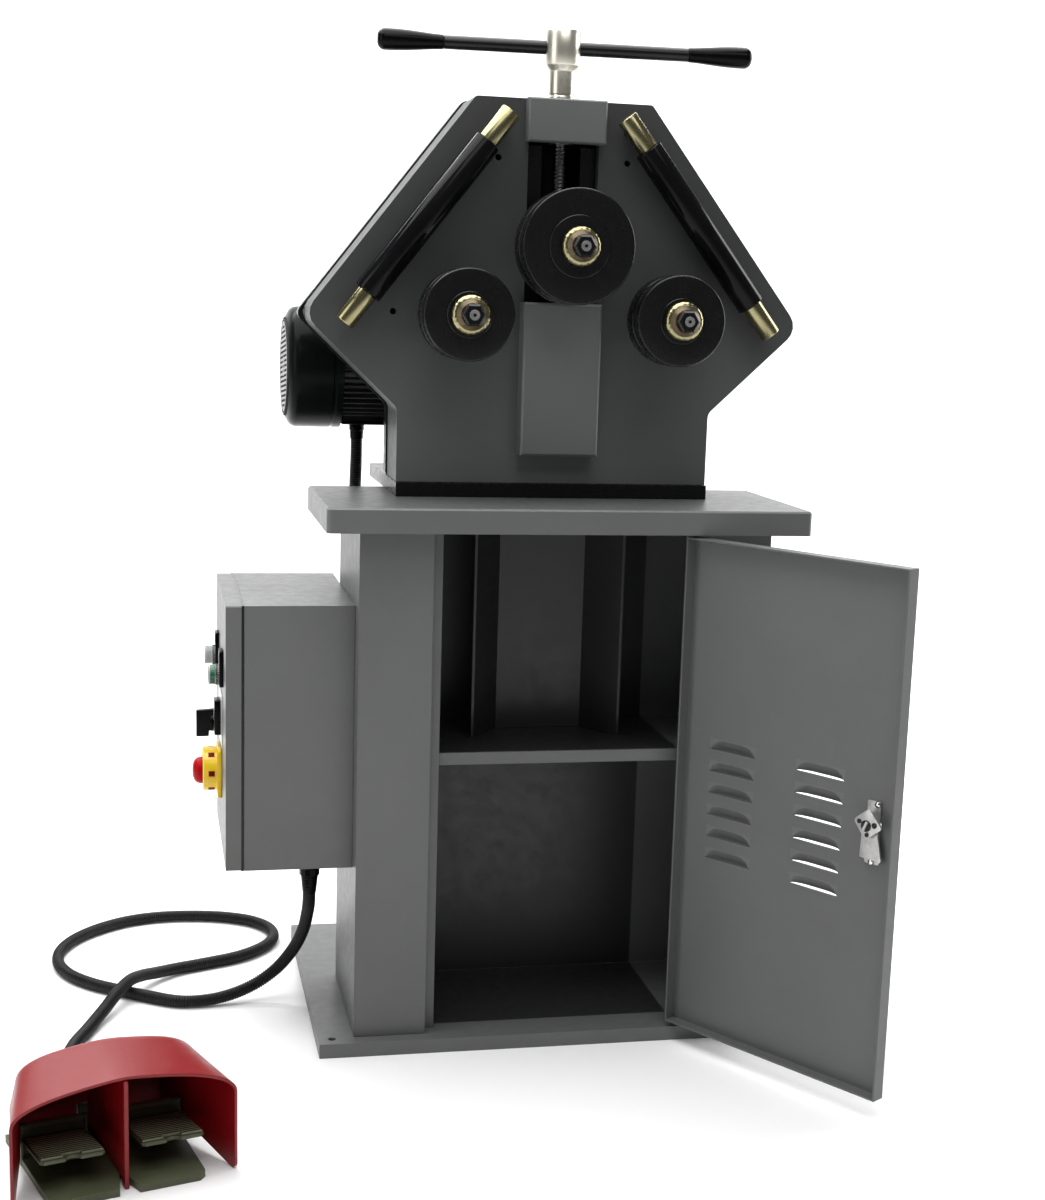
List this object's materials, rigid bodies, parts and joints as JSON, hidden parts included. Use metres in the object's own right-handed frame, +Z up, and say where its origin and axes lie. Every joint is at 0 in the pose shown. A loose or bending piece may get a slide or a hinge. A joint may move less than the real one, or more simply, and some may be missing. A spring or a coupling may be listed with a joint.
{
  "type": "pinch roll bender",
  "caption": "Floor-standing ring roller: driven lower rolls, a screw-fed upper roll on an arrow-shaped head, steel cabinet, control box and foot pedal.",
  "frame": {"origin": "on the underside of the floor plate, below the middle of the cabinet's front face", "axes": "+Z up, +Y towards the machine's back, +X to the right as seen by someone in front of the rolls"},
  "size_m": [1.0916, 0.982, 1.377],
  "materials": {
    "cabinet_paint": "satin grey enamel",
    "head_paint": "satin darker grey enamel",
    "black_paint": "satin black enamel",
    "black_steel": "blackened steel, oiled",
    "bright_steel": "bright zinc plated",
    "yellow_zinc": "yellow zinc plated",
    "gearbox_iron": "black painted casting",
    "black_plastic": "glossy black",
    "hose_plastic": "black ribbed plastic",
    "chrome_bezel": "polished",
    "clear_lens": "clear, frosted inside",
    "green_cap": "green",
    "yellow_plastic": "yellow",
    "red_cap": "red",
    "red_paint": "gloss red enamel",
    "olive_rubber": "olive green, ribbed"
  },
  "bodies": {
    "machine": {"floor_plate": "cabinet_paint", "cabinet_shell": "cabinet_paint", "cabinet_shelf": "cabinet_paint", "cabinet_column": "cabinet_paint", "table_top": "cabinet_paint", "control_box_body": "cabinet_paint", "control_box_gland": "black_plastic", "head_base_plate": "black_paint", "head_casing": "head_paint", "head_rear_cover": "black_paint", "top_block": "head_paint", "lower_cover_strip": "head_paint", "guide_rail_left": "head_paint", "guide_rail_right": "head_paint", "guard_bar_left": "yellow_zinc", "guard_bar_right": "yellow_zinc", "gearbox": "gearbox_iron", "motor": "gearbox_iron", "motor_hose": "hose_plastic", "pedal_hose": "hose_plastic", "pedal_base": "olive_rubber", "pedal_hood": "red_paint"},
    "guard_sleeve_left": {"guard_sleeve_left": "black_steel"},
    "guard_sleeve_right": {"guard_sleeve_right": "black_steel"},
    "spindle": {"spindle_hub": "bright_steel", "handle_bar": "bright_steel", "handle_grip_left": "black_plastic", "handle_grip_right": "black_plastic"},
    "carriage": {"carriage": "black_steel", "adjusting_screw": "bright_steel"},
    "upper_roll": {"upper_shaft": "black_steel", "upper_roll_front": "black_steel", "upper_roll_back": "black_steel", "upper_cone": "yellow_zinc", "upper_nut": "black_steel"},
    "lower_left_roll": {"lower_left_shaft": "black_steel", "lower_left_roll_front": "black_steel", "lower_left_roll_back": "black_steel", "lower_left_cone": "yellow_zinc", "lower_left_nut": "black_steel"},
    "lower_right_roll": {"lower_right_shaft": "black_steel", "lower_right_roll_front": "black_steel", "lower_right_roll_back": "black_steel", "lower_right_cone": "yellow_zinc", "lower_right_nut": "black_steel"},
    "gearbox_output": {"gearbox_pinion": "bright_steel"},
    "door": {"cabinet_door": "cabinet_paint", "latch_housing": "bright_steel"},
    "latch_cam": {"latch_cam": "bright_steel"},
    "control_box_lid": {"control_box_lid": "cabinet_paint", "lamp_body": "chrome_bezel", "lamp_lens": "clear_lens", "start_button_body": "chrome_bezel", "selector_body": "black_plastic", "stop_switch_base": "yellow_plastic"},
    "start_button": {"start_button": "green_cap"},
    "selector_knob": {"selector_knob": "black_plastic"},
    "stop_button": {"stop_button": "red_cap"},
    "treadle_left": {"pedal_treadle_left": "olive_rubber"},
    "treadle_right": {"pedal_treadle_right": "olive_rubber"}
  },
  "joints": [
    {"name": "spindle_turn", "type": "hinge", "parent": "machine", "child": "spindle", "pos_m": [0, 0.146, 1.3545], "axis": [0, 0, 1], "range_deg": [-3600, 2880]},
    {"name": "carriage_slide", "type": "slide", "parent": "machine", "child": "carriage", "axis": [0, 0, 1], "range_m": [-0.0402, 0.0502]},
    {"name": "upper_roll_spin", "type": "hinge", "parent": "carriage", "child": "upper_roll", "pos_m": [0, 0.035, 1.091], "axis": [0, 1, 0], "continuous": true},
    {"name": "lower_left_roll_spin", "type": "hinge", "parent": "machine", "child": "lower_left_roll", "pos_m": [-0.1425, 0.035, 0.9995], "axis": [0, 1, 0], "continuous": true},
    {"name": "lower_right_roll_spin", "type": "hinge", "parent": "machine", "child": "lower_right_roll", "pos_m": [0.1425, 0.035, 0.9995], "axis": [0, 1, 0], "continuous": true},
    {"name": "gearbox_output_spin", "type": "hinge", "parent": "machine", "child": "gearbox_output", "pos_m": [0, 0.2, 0.923], "axis": [0, 1, 0], "continuous": true},
    {"name": "guard_sleeve_left_spin", "type": "hinge", "parent": "machine", "child": "guard_sleeve_left", "pos_m": [-0.1877, 0.092, 1.124], "axis": [0.6136, 0, 0.7896], "continuous": true},
    {"name": "guard_sleeve_right_spin", "type": "hinge", "parent": "machine", "child": "guard_sleeve_right", "pos_m": [0.1877, 0.092, 1.124], "axis": [-0.6136, 0, 0.7896], "continuous": true},
    {"name": "door_hinge", "type": "hinge", "parent": "machine", "child": "door", "pos_m": [0.1775, -0.0048, 0.37], "axis": [0, 0, 1], "range_deg": [-122.2, 45]},
    {"name": "latch_cam_turn", "type": "hinge", "parent": "door", "child": "latch_cam", "pos_m": [0.32837, -0.28509, 0.385], "axis": [-0.8443, -0.5358, 0], "range_deg": [-90, 90]},
    {"name": "lid_hinge", "type": "hinge", "parent": "machine", "child": "control_box_lid", "pos_m": [-0.42845, 0.3446, 0.432], "axis": [0, 0, 1], "range_deg": [-110, 0]},
    {"name": "start_button_press", "type": "slide", "parent": "control_box_lid", "child": "start_button", "axis": [1, 0, 0], "range_m": [0, 0.004], "stiffness_N_per_m": 400, "springref_m": -0.002},
    {"name": "selector_turn", "type": "hinge", "parent": "control_box_lid", "child": "selector_knob", "pos_m": [-0.47, 0.19, 0.423], "axis": [1, 0, 0], "range_deg": [-45, 45]},
    {"name": "stop_button_press", "type": "slide", "parent": "control_box_lid", "child": "stop_button", "axis": [1, 0, 0], "range_m": [0, 0.005], "stiffness_N_per_m": 500, "springref_m": -0.002},
    {"name": "treadle_left_press", "type": "hinge", "parent": "machine", "child": "treadle_left", "pos_m": [-0.66795, -0.27097, 0.046], "axis": [0.9613, 0.2756, 0], "range_deg": [0, 12], "stiffness_Nm_per_rad": 6, "springref_deg": -11.46},
    {"name": "treadle_right_press", "type": "hinge", "parent": "machine", "child": "treadle_right", "pos_m": [-0.55836, -0.23954, 0.046], "axis": [0.9613, 0.2756, 0], "range_deg": [0, 12], "stiffness_Nm_per_rad": 6, "springref_deg": -11.46}
  ],
  "couplings": [
    {"joint": "carriage_slide", "follows": "spindle_turn", "m_per_rad": -0.00079577},
    {"joint": "lower_right_roll_spin", "follows": "lower_left_roll_spin", "ratio": 1},
    {"joint": "gearbox_output_spin", "follows": "lower_left_roll_spin", "ratio": -2.2}
  ]
}
